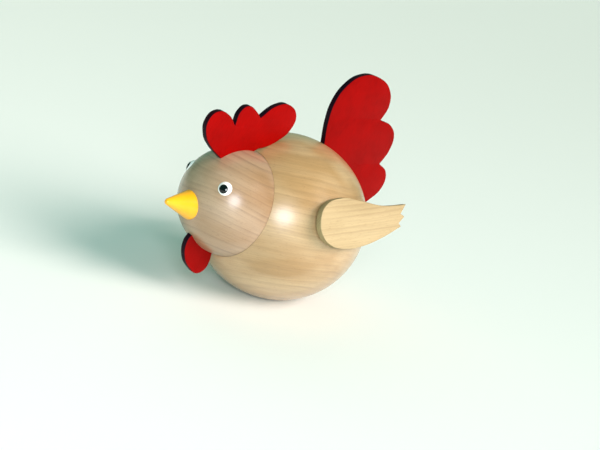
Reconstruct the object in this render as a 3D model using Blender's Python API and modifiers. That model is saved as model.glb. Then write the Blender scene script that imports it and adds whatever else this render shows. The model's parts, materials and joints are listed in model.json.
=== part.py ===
"""Wind-up hopping hen: two turned wooden balls with plywood comb, wattle, tail and wings.

A clockwork in the body ball turns a crank that drives a kicker foot down out of the ball.
Metres, +Z up. The hen faces -X and its left side is -Y. The origin is the centre of the
kicker foot's underside, on the surface that the hen stands on.
"""

import math

import bmesh
import bpy
from mathutils import Euler, Vector

MM = 0.001

# ---------------------------------------------------------------- driving dimensions
BALL_RADIUS = 40 * MM
BALL_SQUASH = 1.4 * MM          # the ball is this much lower than a sphere at each pole
HEAD_RADIUS = 24.5 * MM
HEAD_TILT = math.radians(12.7)  # rise of the neck axis
HEAD_TUCK = 0.2 * MM            # head centre behind the circle where both balls are as wide
HEAD_SINK = 4.1 * MM            # depth of the head's flat back in the ball
PLY = 3 * MM
GAP = 0.3 * MM                  # between pieces that are glued or rest on each other
RUN = 0.1 * MM                  # radial clearance of what turns or slides

BASE_FLAT_CUT = 2.1 * MM
FOOT_PROUD = 0.5 * MM           # foot below the ball's flat when it is drawn in
FOOT_RADIUS = 10.5 * MM
FOOT_RECESS_CLEAR = 0.7 * MM
PAD_THICK = 1.3 * MM
FOOT_THICK = 2.2 * MM
KICK_STROKE = 4 * MM
STEM_RADIUS = 2 * MM
COLLAR_RADIUS = 3.4 * MM
COLLAR_THICK = 1 * MM
BUSH_WALL = 1 * MM
BUSH_FLANGE_RADIUS = 3.8 * MM
BUSH_FLANGE_THICK = 1 * MM
BUSH_BELOW_CAVITY = 2 * MM      # the bush's flange sits this far down in the ball
COLLAR_DROP = 0.9 * MM          # from the stem's top to its collar
RECESS_ROOM = 0.6 * MM          # over the foot when it is drawn in
YOKE_IN_STEM = 3 * MM
YOKE_TAIL_HALF = 1.6 * MM
YOKE_END_WALL = 1.5 * MM
YOKE_SIDE_WALL = 1.4 * MM
FOOT_SCREW_RADIUS = 1 * MM
FOOT_SCREW_HEAD_RADIUS = 2.2 * MM
FOOT_SCREW_HEAD_HIGH = 1.2 * MM
FOOT_SCREW_IN_STEM = 5 * MM
SPRING_WIRE_RADIUS = 0.35 * MM
SPRING_OFF_STEM = 0.55 * MM
SPRING_TURNS = 4

GEAR_MODULE = 0.6 * MM
GREAT_TEETH = 36
SECOND_TEETH = 27
PINION_TEETH = 9
PRESSURE_ANGLE = math.radians(25)
BACKLASH = 0.08 * MM
CRANK_HEIGHT = -6 * MM          # crank axis above the ball's centre
WINDING_RISE = math.radians(12.5)
WINDING_ARBOR_RADIUS = 2.2 * MM
TRAIN_ARBOR_RADIUS = 1.1 * MM
CRANK_BUSH_RADIUS = 2 * MM
CRANK_PIN_RADIUS = 0.6 * MM
RATCHET_TEETH = 12
RATCHET_RADIUS = 4.4 * MM
RATCHET_ROOT = 3.4 * MM
WHEEL_TO_BUSH = 0.55 * MM       # great wheel's teeth to the crank's bush

PLATE_SPACING = 18 * MM         # between the plates' inner faces
PLATE_THICK = 1 * MM
LAYER_GAP = 0.4 * MM
GREAT_WHEEL_THICK = 1.5 * MM
CLICK_THICK = 1 * MM
SECOND_WHEEL_THICK = 1.2 * MM
CRANK_DISC_THICK = 1 * MM
YOKE_THICK = 1.2 * MM
MAINSPRING_INNER_Y = 1 * MM
MAINSPRING_WIDTH = 6 * MM
MAINSPRING_STRIP = 0.35 * MM
MAINSPRING_OFF_ARBOR = 0.8 * MM
MAINSPRING_IN_WHEEL = 3 * MM    # outermost full coil inside the great wheel's edge
MAINSPRING_COILS = 4
PILLAR_RADIUS = 1.5 * MM
RIVET_RADIUS = 1 * MM
RIVET_PROUD = 0.3 * MM
REAR_PILLAR_TURN = math.radians(56)
REAR_PILLAR_CLEAR = 1 * MM      # from the great wheel's edge
FRONT_PILLAR_HEIGHT = 10.5 * MM
FRONT_PILLAR_SETBACK = 6 * MM   # behind the board
PLATE_RIM = 0.5 * MM
PLATE_TAB_NEAR = 5 * MM         # tabs go through the board between these heights
PLATE_TAB_FAR = 10 * MM
CAVITY_CLEAR = 1 * MM
CAVITY_BEHIND_WHEEL = 0.9 * MM
CAVITY_BEHIND_PLATES = 1.5 * MM

BOARD_THICK = 4 * MM
BOARD_SHOULDER = 4 * MM
SCREW_HEAD_ROOM = 1.6 * MM
SCREW_RADIUS = 0.8 * MM
SCREW_HEAD_RADIUS = 1.5 * MM
SCREW_IN_BALL = 7 * MM
PLUG_FLANGE_THICK = 4 * MM
PLUG_SPIGOT_RADIUS = 10 * MM
PLUG_SPIGOT_LENGTH = 16.5 * MM

BEAK_REACH = 36.65 * MM         # tip from the middle of the head
BEAK_RADIUS = 6.6 * MM
BEAK_LIFT = math.radians(5.5)   # the beak points up by this
BEAK_DROP = 3.5 * MM            # its axis passes this far below the head's centre
BEAK_EMBED = 0.5 * MM
BEAK_PEG_RADIUS = 2.5 * MM
BEAK_PEG_LENGTH = 6 * MM
EYE_RADIUS = 3.1 * MM
EYE_RISE = 1.4 * MM
EYE_PEG_RADIUS = 1.2 * MM
EYE_PEG_LENGTH = 5 * MM
LEFT_EYE_TURN = math.radians(36.9)   # from straight ahead
LEFT_EYE_LIFT = math.radians(26.6)
RIGHT_EYE_TURN = math.radians(43)
RIGHT_EYE_LIFT = math.radians(27.5)

COMB_TONGUE = 5 * MM
WATTLE_TONGUE = 4 * MM
TAIL_TONGUE = 6 * MM
SLOT_OPEN = 4 * MM              # slots are cut to this far outside the wood
WING_LEAN = math.radians(20)    # the wing's face looks up by this
DOWEL_RADIUS = 1.5 * MM
DOWEL_IN_BALL = 8 * MM
DOWEL_IN_WING = 2 * MM

KEY_SHANK_RADIUS = 3.2 * MM
KEY_BUSH_WALL = 1.1 * MM
KEY_WING_CLEAR = 2.3 * MM       # key beyond the wing's outer edge
KEY_PLATE_THICK = 2.4 * MM
KEY_TAIL = 4 * MM
KEY_SHANK_START = 22 * MM
KEY_SOCKET_DEPTH = 8 * MM
KEY_BUSH_SUNK = 2.4 * MM
KEY_BUSH_LENGTH = 8 * MM

BALL_SEGMENTS = 40
HEAD_SEGMENTS = 28
TURNED_SIDES = 32
ARBOR_SIDES = 20
CURVE_STEPS = 3
MERGE = 0.00001
CORNER = "corner"

# ---------------------------------------------------------------- places worked out
ball_half_height = BALL_RADIUS - BALL_SQUASH
base_flat_z = -(ball_half_height - BASE_FLAT_CUT)
foot_under_z = base_flat_z - FOOT_PROUD
head_offset = math.sqrt(BALL_RADIUS ** 2 - HEAD_RADIUS ** 2) - HEAD_TUCK
seam_distance = (head_offset ** 2 + BALL_RADIUS ** 2 - HEAD_RADIUS ** 2) / (2 * head_offset)
head_back = seam_distance - HEAD_SINK
head_centre = Vector((-math.cos(HEAD_TILT), 0, math.sin(HEAD_TILT))) * head_offset

pocket_floor = head_back - GAP
flange_back = pocket_floor - PLUG_FLANGE_THICK
board_front = flange_back - SCREW_HEAD_ROOM
board_back = board_front - BOARD_THICK
shoulder = board_back - GAP

great_pitch = GEAR_MODULE * GREAT_TEETH / 2
second_pitch = GEAR_MODULE * SECOND_TEETH / 2
pinion_pitch = GEAR_MODULE * PINION_TEETH / 2
great_outer = great_pitch + 0.8 * GEAR_MODULE
crank_radius = KICK_STROKE / 2
crank_axis = Vector((0, 0, CRANK_HEIGHT))
winding_reach = great_outer + CRANK_BUSH_RADIUS + WHEEL_TO_BUSH
winding_axis = crank_axis + winding_reach * Vector((math.cos(WINDING_RISE), 0, math.sin(WINDING_RISE)))

y_great = -(PLATE_SPACING / 2 - LAYER_GAP - GREAT_WHEEL_THICK / 2)
y_click = y_great + GREAT_WHEEL_THICK / 2 + LAYER_GAP + CLICK_THICK / 2
y_second = y_click + CLICK_THICK / 2 + LAYER_GAP + SECOND_WHEEL_THICK / 2
y_disc = y_second + SECOND_WHEEL_THICK / 2 + LAYER_GAP + CRANK_DISC_THICK / 2
plate_y = PLATE_SPACING / 2 + PLATE_THICK / 2
rivet_y = PLATE_SPACING / 2 + PLATE_THICK + RIVET_PROUD


def third_axis(first, second, from_first, from_second):
    """Upper meeting point of two circles in the XZ plane: a wheel that meshes with both."""
    between = second - first
    span = between.length
    along = (from_first ** 2 - from_second ** 2 + span ** 2) / (2 * span)
    across = math.sqrt(from_first ** 2 - along ** 2)
    direction = between / span
    upward = Vector((direction.z, 0, -direction.x))
    if upward.z < 0:
        upward = -upward
    return first + direction * along + upward * across


second_axis = third_axis(winding_axis, crank_axis, great_pitch + pinion_pitch, second_pitch + pinion_pitch)


def neck_place(height, along):
    """Point of the XZ plane from its height over and distance along the neck axis."""
    return Vector((-along * math.cos(HEAD_TILT) + height * math.sin(HEAD_TILT), 0,
                   along * math.sin(HEAD_TILT) + height * math.cos(HEAD_TILT)))


def neck_coordinates(point):
    """Height over and distance along the neck axis of a point of the XZ plane."""
    return (point.x * math.sin(HEAD_TILT) + point.z * math.cos(HEAD_TILT),
            -point.x * math.cos(HEAD_TILT) + point.z * math.sin(HEAD_TILT))


winding_height, winding_along = neck_coordinates(winding_axis)
cavity_back = winding_along - great_outer - CAVITY_BEHIND_WHEEL
rear_pillar_reach = great_outer + PILLAR_RADIUS + REAR_PILLAR_CLEAR
rear_pillar_height = rear_pillar_reach * math.sin(REAR_PILLAR_TURN)
rear_pillar_along = winding_along - rear_pillar_reach * math.cos(REAR_PILLAR_TURN)
front_pillar_along = board_back - FRONT_PILLAR_SETBACK
pillars = {
    "pillar_rear_top": (winding_height + rear_pillar_height, rear_pillar_along),
    "pillar_rear_bottom": (winding_height - rear_pillar_height, rear_pillar_along),
    "pillar_front_top": (FRONT_PILLAR_HEIGHT, front_pillar_along),
    "pillar_front_bottom": (-FRONT_PILLAR_HEIGHT, front_pillar_along),
}
plate_half_height = max(abs(height) for height, along in pillars.values()) + PILLAR_RADIUS + PLATE_RIM
cavity_radius = math.hypot(rivet_y, plate_half_height) + CAVITY_CLEAR
board_hole_radius = cavity_radius + BOARD_SHOULDER
board_radius = board_hole_radius - GAP
board_screw_circle = (cavity_radius + board_radius) / 2

recess_ceiling = foot_under_z + PAD_THICK + FOOT_THICK + GAP + RECESS_ROOM
bush_radius = STEM_RADIUS + RUN + BUSH_WALL
bush_pocket_floor = -cavity_radius - BUSH_BELOW_CAVITY
yoke_rest_z = CRANK_HEIGHT + crank_radius
stem_top = CRANK_HEIGHT - crank_radius - CRANK_PIN_RADIUS - GAP
collar_top = stem_top - COLLAR_DROP
spring_top = collar_top - COLLAR_THICK - GAP
bush_top = bush_pocket_floor + GAP + BUSH_FLANGE_THICK
foot_top = foot_under_z + PAD_THICK + GAP + FOOT_THICK


# ---------------------------------------------------------------- scene and finishes
def clear_scene():
    for item in list(bpy.data.objects):
        bpy.data.objects.remove(item, do_unlink=True)


def new_collection(name):
    collection = bpy.data.collections.new(name)
    bpy.context.scene.collection.children.link(collection)
    return collection


def finish(name, colour, roughness, metallic=0.0):
    material = bpy.data.materials.new(name)
    material.use_nodes = True
    shader = material.node_tree.nodes["Principled BSDF"]
    shader.inputs["Base Color"].default_value = (*colour, 1)
    shader.inputs["Roughness"].default_value = roughness
    shader.inputs["Metallic"].default_value = metallic
    return material


clear_scene()
hen = new_collection("wind_up_hopping_hen")
cutters = new_collection("cutters")

turned_wood = finish("turned_wood", (0.80, 0.64, 0.38), 0.3)
plain_ply = finish("plain_ply", (0.84, 0.66, 0.36), 0.6)
red_ply = finish("red_ply", (0.55, 0.01, 0.01), 0.3)
yellow_wood = finish("yellow_wood", (0.95, 0.62, 0.03), 0.25)
white_paint = finish("white_paint", (0.9, 0.9, 0.88), 0.25)
steel = finish("steel", (0.56, 0.57, 0.58), 0.3, 1.0)
brass = finish("brass", (0.75, 0.58, 0.25), 0.35, 1.0)
rubber = finish("rubber", (0.05, 0.05, 0.05), 0.8)


# ---------------------------------------------------------------- building blocks
def add_object(name, data, parent, material=None, location=(0, 0, 0), rotation=(0, 0, 0)):
    """A piece when it has a finish, otherwise a hidden cutter."""
    piece = bpy.data.objects.new(name, data)
    piece.parent = parent
    piece.location = location
    piece.rotation_euler = rotation
    if material is None:
        cutters.objects.link(piece)
        piece.hide_render = True
        piece.display_type = "WIRE"
    else:
        hen.objects.link(piece)
        data.materials.append(material)
    return piece


def add_axis(name, parent=None, location=(0, 0, 0), rotation=(0, 0, 0)):
    axis = bpy.data.objects.new(name, None)
    axis.parent = parent
    axis.location = location
    axis.rotation_euler = rotation
    hen.objects.link(axis)
    return axis


def cut(piece, cutter, operation="DIFFERENCE"):
    modifier = piece.modifiers.new(cutter.name, "BOOLEAN")
    modifier.operation = operation
    modifier.object = cutter


def mesh_from(name, shape):
    mesh = bpy.data.meshes.new(name)
    shape.to_mesh(mesh)
    shape.free()
    return mesh


def box(name, low, high, parent, material=None):
    """Box between two corners of the parent's frame."""
    low, high = Vector(low), Vector(high)
    shape = bmesh.new()
    bmesh.ops.create_cube(shape, size=1)
    bmesh.ops.scale(shape, vec=high - low, verts=shape.verts)
    return add_object(name, mesh_from(name, shape), parent, material, (low + high) / 2)


def bar(name, radius, start, end, parent, material=None, sides=ARBOR_SIDES):
    """Round bar between two points of the parent's frame."""
    start, end = Vector(start), Vector(end)
    shape = bmesh.new()
    bmesh.ops.create_cone(shape, cap_ends=True, segments=sides, radius1=radius, radius2=radius,
                          depth=(end - start).length)
    turn = (end - start).to_track_quat("Z", "Y").to_euler()
    mesh = mesh_from(name, shape)
    mesh.shade_smooth()
    mesh.set_sharp_from_angle(angle=math.radians(40))
    return add_object(name, mesh, parent, material, (start + end) / 2, turn)


def ball(name, radius, half_height, segments, parent, material=None):
    shape = bmesh.new()
    bmesh.ops.create_uvsphere(shape, u_segments=segments, v_segments=segments // 2, radius=radius)
    bmesh.ops.scale(shape, vec=(1, 1, half_height / radius), verts=shape.verts)
    mesh = mesh_from(name, shape)
    mesh.shade_smooth()
    return add_object(name, mesh, parent, material)


def turned(name, profile, parent, material=None, closed=False, sides=TURNED_SIDES,
           location=(0, 0, 0), rotation=(0, 0, 0)):
    """Profile of (radius, height) turned about local Z, from its top down its outer side."""
    shape = bmesh.new()
    points = [shape.verts.new((radius, 0, height)) for radius, height in profile]
    for first, second in zip(points, points[1:]):
        shape.edges.new((first, second))
    if closed:
        shape.edges.new((points[-1], points[0]))
    piece = add_object(name, mesh_from(name, shape), parent, material, location, rotation)
    screw = piece.modifiers.new("turning", "SCREW")
    screw.axis = "Z"
    screw.steps = sides
    screw.render_steps = sides
    screw.use_merge_vertices = True
    screw.merge_threshold = MERGE
    screw.use_smooth_shade = True
    return piece


def flat_piece(name, outlines, thickness, parent, material=None, location=(0, 0, 0), rotation=(0, 0, 0)):
    """Sheet cut to an outline; outlines after the first are holes.

    An outline is a list of points. A point marked CORNER is sharp, and the others lie on a
    smooth curve. A tuple of points stands for straight edges all round.
    """
    curve = bpy.data.curves.new(name, "CURVE")
    curve.dimensions = "2D"
    curve.fill_mode = "BOTH"
    curve.extrude = thickness / 2
    curve.resolution_u = CURVE_STEPS
    for outline in outlines:
        straight = isinstance(outline, tuple)
        spline = curve.splines.new("POLY" if straight else "BEZIER")
        spline.use_cyclic_u = True
        points = spline.points if straight else spline.bezier_points
        points.add(len(outline) - 1)
        for point, place in zip(points, outline):
            if straight:
                point.co = (place[0], place[1], 0, 1)
                continue
            point.co = (place[0], place[1], 0)
            kind = "VECTOR" if CORNER in place else "AUTO"
            point.handle_left_type = kind
            point.handle_right_type = kind
    guide = bpy.data.objects.new(name + "_outline", curve)
    cutters.objects.link(guide)
    bpy.context.view_layer.update()
    mesh = bpy.data.meshes.new_from_object(guide.evaluated_get(bpy.context.evaluated_depsgraph_get()))
    bpy.data.objects.remove(guide, do_unlink=True)
    shape = bmesh.new()
    shape.from_mesh(mesh)
    bmesh.ops.remove_doubles(shape, verts=shape.verts, dist=MERGE)
    bmesh.ops.dissolve_degenerate(shape, edges=shape.edges, dist=MERGE)
    shape.to_mesh(mesh)
    shape.free()
    mesh.name = name
    mesh.materials.clear()
    return add_object(name, mesh, parent, material, location, rotation)


def circle(radius, centre=(0, 0), sides=ARBOR_SIDES):
    return tuple((centre[0] + radius * math.cos(2 * math.pi * k / sides),
                  centre[1] + radius * math.sin(2 * math.pi * k / sides)) for k in range(sides))


UPRIGHT = (math.radians(90), 0, 0)  # local X, Y of a flat piece lie along X and Z


# ---------------------------------------------------------------- reference axes
ball_centre = add_axis("ball_centre", location=(0, 0, -foot_under_z))
neck_axis = add_axis("neck_axis", ball_centre, rotation=(0, HEAD_TILT - math.radians(90), 0))
head_axis = add_axis("head_axis", ball_centre, head_centre)
winding_centre = add_axis("winding_centre", ball_centre, winding_axis)
second_centre = add_axis("second_centre", ball_centre, second_axis)
crank_centre = add_axis("crank_centre", ball_centre, crank_axis)
kick_axis = add_axis("kick_axis", ball_centre)


# ---------------------------------------------------------------- outlines round the balls
def round_ball(angle, height):
    """Point over the body ball, from its angle above straight back and height over the wood."""
    turn = math.radians(angle)
    surface = 1 / math.hypot(math.cos(turn) / BALL_RADIUS, math.sin(turn) / ball_half_height)
    return Vector(((surface + height) * math.cos(turn), (surface + height) * math.sin(turn)))


def round_head(angle, height):
    """Point over the head, in the head's own frame."""
    turn = math.radians(angle)
    return Vector(((HEAD_RADIUS + height) * math.cos(turn), (HEAD_RADIUS + height) * math.sin(turn)))


def outline_over(surface, points, tongue, tongue_steps=5):
    """Outline of (angle, height in mm) points, closed by a tongue that goes into the wood."""
    outline = [(*surface(point[0], point[1] * MM), *point[2:]) for point in points]
    first, last = points[0][0], points[-1][0]
    for step in range(tongue_steps + 1):
        angle = last + (first - last) * step / tongue_steps
        mark = (CORNER,) if step in (0, tongue_steps) else ()
        outline.append((*surface(angle, -tongue), *mark))
    return outline


def tongue_slot(surface, points, tongue, steps=8):
    """Slot for the tongue, GAP wider and deeper, open well above the wood."""
    first, last = points[0][0], points[-1][0]
    reach = math.degrees(GAP / (surface(first, -tongue).length)) * (1 if last > first else -1)
    angles = [first - reach + (last - first + 2 * reach) * step / steps for step in range(steps + 1)]
    inner = [tuple(surface(angle, -tongue - GAP)) for angle in angles]
    outer = [tuple(surface(angle, SLOT_OPEN)) for angle in reversed(angles)]
    return tuple(inner + outer)


# Angle in degrees round the head's centre and height in mm over the wood.
COMB = [
    (124.4, 0.2, CORNER), (129.2, 8.0), (129.1, 14.0), (124.5, 19.7), (117.1, 21.3), (110.1, 17.5),
    (106.3, 12.2, CORNER), (102.4, 17.8), (97.0, 20.0), (89.8, 17.3), (86.0, 15.0, CORNER),
    (77.3, 21.8), (69.2, 24.9), (60.8, 23.0), (57.9, 16.1), (61.5, 9.0), (67.5, 4.5), (77.0, 1.5, CORNER),
    (80.5, 0.2, CORNER),
]
WATTLE = [
    (217.5, 0.2, CORNER), (220.7, 3.4), (231.2, 8.0), (242.6, 10.4), (250.5, 11.0), (256.2, 8.4),
    (258.0, 4.2), (256.5, 0.2, CORNER),
]
# Angle in degrees above straight back, round the ball's centre.
TAIL = [
    (68.8, 0.2, CORNER), (74.5, 9.5), (76.1, 18.9), (73.9, 28.2), (68.9, 36.0), (61.2, 40.8),
    (53.2, 41.1), (48.4, 36.5), (46.4, 29.2, CORNER), (40.2, 33.5), (35.1, 33.6), (30.2, 28.9),
    (26.6, 22.0, CORNER), (20.8, 25.9), (14.9, 24.3), (9.0, 15.5), (5.1, 6.0), (3.2, 0.2, CORNER),
]
# Along and up the wing from its root, in mm. Three feather tips at the back.
WING = [
    (-15.5, -0.3), (-12.7, 6.5), (-3.1, 9.9), (9.4, 8.7), (22.0, 6.8), (32.5, 6.9), (38.6, 7.4, CORNER),
    (35.3, 3.1, CORNER), (37.8, 1.7, CORNER), (34.1, -1.2, CORNER), (35.5, -2.8, CORNER), (23.5, -7.6),
    (10.0, -11.3), (0.0, -12.2), (-9.2, -10.4), (-14.0, -6.2),
]


# ---------------------------------------------------------------- body ball
def make_body():
    body = ball("body_ball", BALL_RADIUS, ball_half_height, BALL_SEGMENTS, ball_centre, turned_wood)
    beyond = BALL_RADIUS + 5 * MM
    pocket_radius = HEAD_RADIUS + GAP
    cut(body, turned("neck_pocket", [
        (0, beyond), (pocket_radius, beyond), (pocket_radius, pocket_floor),
        (board_hole_radius, pocket_floor), (board_hole_radius, shoulder), (cavity_radius, shoulder),
        (cavity_radius, cavity_back), (0, cavity_back)], neck_axis))
    cut(body, box("base_cut", (-beyond, -beyond, -2 * beyond), (beyond, beyond, base_flat_z), ball_centre))
    inside = bush_top + 3 * MM
    cut(body, turned("kicker_bore", [
        (0, inside), (BUSH_FLANGE_RADIUS + GAP, inside), (BUSH_FLANGE_RADIUS + GAP, bush_pocket_floor),
        (bush_radius + GAP, bush_pocket_floor), (bush_radius + GAP, recess_ceiling),
        (FOOT_RADIUS + FOOT_RECESS_CLEAR, recess_ceiling), (FOOT_RADIUS + FOOT_RECESS_CLEAR, -beyond),
        (0, -beyond)], ball_centre))
    return body


body_ball = make_body()

# ---------------------------------------------------------------- head
head_ball = ball("head_ball", HEAD_RADIUS, HEAD_RADIUS, HEAD_SEGMENTS, head_axis, turned_wood)
cut(head_ball, box("head_back_cut", (-2 * BALL_RADIUS, -2 * BALL_RADIUS, -BALL_RADIUS),
                   (2 * BALL_RADIUS, 2 * BALL_RADIUS, head_back), neck_axis))
plug_end = pocket_floor + PLUG_SPIGOT_LENGTH
cut(head_ball, bar("plug_hole", PLUG_SPIGOT_RADIUS + GAP, (0, 0, 0), (0, 0, plug_end + GAP), neck_axis,
                   sides=TURNED_SIDES))

head_plug = turned("head_plug", [
    (0, plug_end), (PLUG_SPIGOT_RADIUS, plug_end), (PLUG_SPIGOT_RADIUS, pocket_floor),
    (board_radius, pocket_floor), (board_radius, flange_back), (0, flange_back)], neck_axis, plain_ply)


# ---------------------------------------------------------------- comb, wattle and tail
def tongued_piece(name, outline, surface, tongue, parent, wood):
    """Plywood piece in the hen's middle plane, glued into a slot in the wood."""
    piece = flat_piece(name, [outline_over(surface, outline, tongue)], PLY, parent, red_ply, rotation=UPRIGHT)
    slot = flat_piece(name + "_slot", [tongue_slot(surface, outline, tongue)], PLY + 2 * GAP, parent,
                      rotation=UPRIGHT)
    cut(wood, slot)
    return piece


comb = tongued_piece("comb", COMB, round_head, COMB_TONGUE, head_axis, head_ball)
cut(comb, ball("comb_clearance", BALL_RADIUS + GAP, ball_half_height + GAP, BALL_SEGMENTS, ball_centre))
wattle = tongued_piece("wattle", WATTLE, round_head, WATTLE_TONGUE, head_axis, head_ball)
tail = tongued_piece("tail", TAIL, round_ball, TAIL_TONGUE, ball_centre, body_ball)

# ---------------------------------------------------------------- beak and eyes
beak_axis = add_axis("beak_axis", head_axis, (0, 0, -BEAK_DROP), (0, BEAK_LIFT - math.radians(90), 0))
beak_seat = math.sqrt(HEAD_RADIUS ** 2 - BEAK_RADIUS ** 2) - BEAK_EMBED
beak_back = beak_seat + GAP
peg_end = beak_seat - BEAK_PEG_LENGTH
beak = turned("beak", [
    (0, BEAK_REACH), (0.9 * MM, BEAK_REACH - 0.3 * MM), (1.6 * MM, BEAK_REACH - 1.1 * MM),
    (BEAK_RADIUS - 0.3 * MM, beak_back + 1.1 * MM), (BEAK_RADIUS, beak_back + 0.6 * MM),
    (BEAK_RADIUS, beak_back), (BEAK_PEG_RADIUS, beak_back), (BEAK_PEG_RADIUS, peg_end), (0, peg_end)],
    beak_axis, yellow_wood, sides=24)
cut(head_ball, turned("beak_seat_cut", [
    (0, BEAK_REACH), (BEAK_RADIUS + GAP, BEAK_REACH), (BEAK_RADIUS + GAP, beak_seat),
    (BEAK_PEG_RADIUS + GAP, beak_seat), (BEAK_PEG_RADIUS + GAP, peg_end - GAP), (0, peg_end - GAP)],
    beak_axis, sides=24))


def add_eye(name, turn, lift):
    """Painted wooden button on a peg; turn is from straight ahead to the hen's right."""
    ahead = Vector((-math.cos(lift) * math.cos(turn), math.cos(lift) * math.sin(turn), math.sin(lift)))
    eye_axis = add_axis(name + "_axis", head_axis, rotation=ahead.to_track_quat("Z", "Y").to_euler())
    seat = math.sqrt(HEAD_RADIUS ** 2 - (EYE_RADIUS + GAP) ** 2)
    rim = seat + GAP
    peg = rim - EYE_PEG_LENGTH
    turned(name, [
        (0, rim + EYE_RISE), (1.3 * MM, rim + EYE_RISE - 0.15 * MM), (2.4 * MM, rim + EYE_RISE - 0.6 * MM),
        (EYE_RADIUS, rim), (EYE_PEG_RADIUS, rim), (EYE_PEG_RADIUS, peg), (0, peg)],
        eye_axis, white_paint, sides=16)
    cut(head_ball, turned(name + "_seat_cut", [
        (0, rim + EYE_RISE), (EYE_RADIUS + GAP, rim + EYE_RISE), (EYE_RADIUS + GAP, seat),
        (EYE_PEG_RADIUS + GAP, seat), (EYE_PEG_RADIUS + GAP, peg - GAP), (0, peg - GAP)],
        eye_axis, sides=16))


add_eye("eye_left", -LEFT_EYE_TURN, LEFT_EYE_LIFT)
add_eye("eye_right", RIGHT_EYE_TURN, RIGHT_EYE_LIFT)

# ---------------------------------------------------------------- wings
wing_reach = math.hypot(BALL_RADIUS * math.cos(WING_LEAN), ball_half_height * math.sin(WING_LEAN))
wing_mid = wing_reach + GAP + PLY / 2
wing_low = min(point[1] for point in WING) * MM
wing_outer_y = (wing_mid + PLY / 2) * math.cos(WING_LEAN) - wing_low * math.sin(WING_LEAN)


def add_wing(name, side):
    """Plain plywood wing in a plane that touches the ball, on one blind dowel."""
    face = Vector((0, side * math.cos(WING_LEAN), math.sin(WING_LEAN)))
    root = Vector((0, side * BALL_RADIUS ** 2 * math.cos(WING_LEAN) / wing_reach,
                   ball_half_height ** 2 * math.sin(WING_LEAN) / wing_reach))
    turn = (math.radians(90) + side * WING_LEAN, 0, 0)
    outline = [(point[0] * MM, point[1] * MM, *point[2:]) for point in WING]
    middle = root + face * (GAP + PLY / 2)
    wing = flat_piece(name, [outline], PLY, ball_centre, plain_ply, middle, turn)
    in_wing = root + face * (GAP + DOWEL_IN_WING)
    in_ball = root - face * DOWEL_IN_BALL
    bar(name.replace("wing", "wing_dowel"), DOWEL_RADIUS, in_ball, in_wing, ball_centre, plain_ply, sides=12)
    hole = bar(name + "_dowel_hole", DOWEL_RADIUS + GAP, in_ball - face * GAP, in_wing + face * GAP,
               ball_centre, sides=12)
    cut(wing, hole)
    cut(body_ball, hole)


add_wing("wing_left", -1)
add_wing("wing_right", 1)


# ---------------------------------------------------------------- frame of the clockwork
def plate_outline():
    """Plate in the neck frame: local X is along the neck, local Y is height over it."""
    rear = cavity_back + CAVITY_BEHIND_PLATES
    front = board_back - GAP
    top = plate_half_height
    high, low = PLATE_TAB_FAR, PLATE_TAB_NEAR
    return ((rear, -top), (front, -top), (front, -high), (board_front, -high), (board_front, -low),
            (front, -low), (front, low), (board_front, low), (board_front, high), (front, high),
            (front, top), (rear, top))


def plate_hole(radius, centre):
    height, along = neck_coordinates(centre)
    return circle(radius, (along, height))


plate_holes = [circle(RIVET_RADIUS + RUN, (along, height), 12) for height, along in pillars.values()]
plate_holes.append(plate_hole(WINDING_ARBOR_RADIUS + RUN, winding_axis))
plate_holes.append(plate_hole(TRAIN_ARBOR_RADIUS + RUN, second_axis))
plate_frame = add_axis("plate_frame", neck_axis, rotation=(math.radians(-90), math.radians(-90), 0))
for side_name, side in (("left", -1), ("right", 1)):
    holes = list(plate_holes)
    if side < 0:
        holes.append(plate_hole(CRANK_BUSH_RADIUS + RUN, crank_axis))
    flat_piece("plate_" + side_name, [plate_outline()] + holes, PLATE_THICK, plate_frame, steel,
               (0, 0, side * plate_y))

for name, (height, along) in pillars.items():
    inner = PLATE_SPACING / 2 - GAP
    turned(name, [(0, rivet_y), (RIVET_RADIUS, rivet_y), (RIVET_RADIUS, inner), (PILLAR_RADIUS, inner),
                  (PILLAR_RADIUS, -inner), (RIVET_RADIUS, -inner), (RIVET_RADIUS, -rivet_y), (0, -rivet_y)],
           ball_centre, brass, sides=12, location=neck_place(height, along), rotation=UPRIGHT)

mechanism_board = bar("mechanism_board", board_radius, (0, 0, board_back), (0, 0, board_front), neck_axis,
                      plain_ply, sides=TURNED_SIDES)
tab_middle = (PLATE_TAB_NEAR + PLATE_TAB_FAR) / 2
tab_half = (PLATE_TAB_FAR - PLATE_TAB_NEAR) / 2 + GAP
half_width = PLATE_THICK / 2 + GAP
for height in (-tab_middle, tab_middle):
    for side in (-1, 1):
        cut(mechanism_board, box(
            "tab_slot", (height - tab_half, side * plate_y - half_width, board_back - BOARD_THICK),
            (height + tab_half, side * plate_y + half_width, board_front + BOARD_THICK), neck_axis))
for number in range(3):
    turn = math.radians(90 + 120 * number)
    across = Vector((board_screw_circle * math.cos(turn), board_screw_circle * math.sin(turn), 0))
    head_low = board_front + GAP
    point = shoulder - SCREW_IN_BALL
    turned(f"board_screw_{number + 1}", [
        (0, head_low + 1 * MM), (SCREW_HEAD_RADIUS, head_low + 0.6 * MM), (SCREW_HEAD_RADIUS, head_low),
        (SCREW_RADIUS, head_low),
        (SCREW_RADIUS, point + 1 * MM), (0, point)], neck_axis, steel, sides=12, location=across)
    hole = bar(f"board_screw_hole_{number + 1}", SCREW_RADIUS + GAP, across + Vector((0, 0, point - GAP)),
               across + Vector((0, 0, head_low)), neck_axis, sides=12)
    cut(mechanism_board, hole)
    cut(body_ball, hole)


# ---------------------------------------------------------------- wheels
def involute(angle):
    return math.tan(angle) - angle


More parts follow.
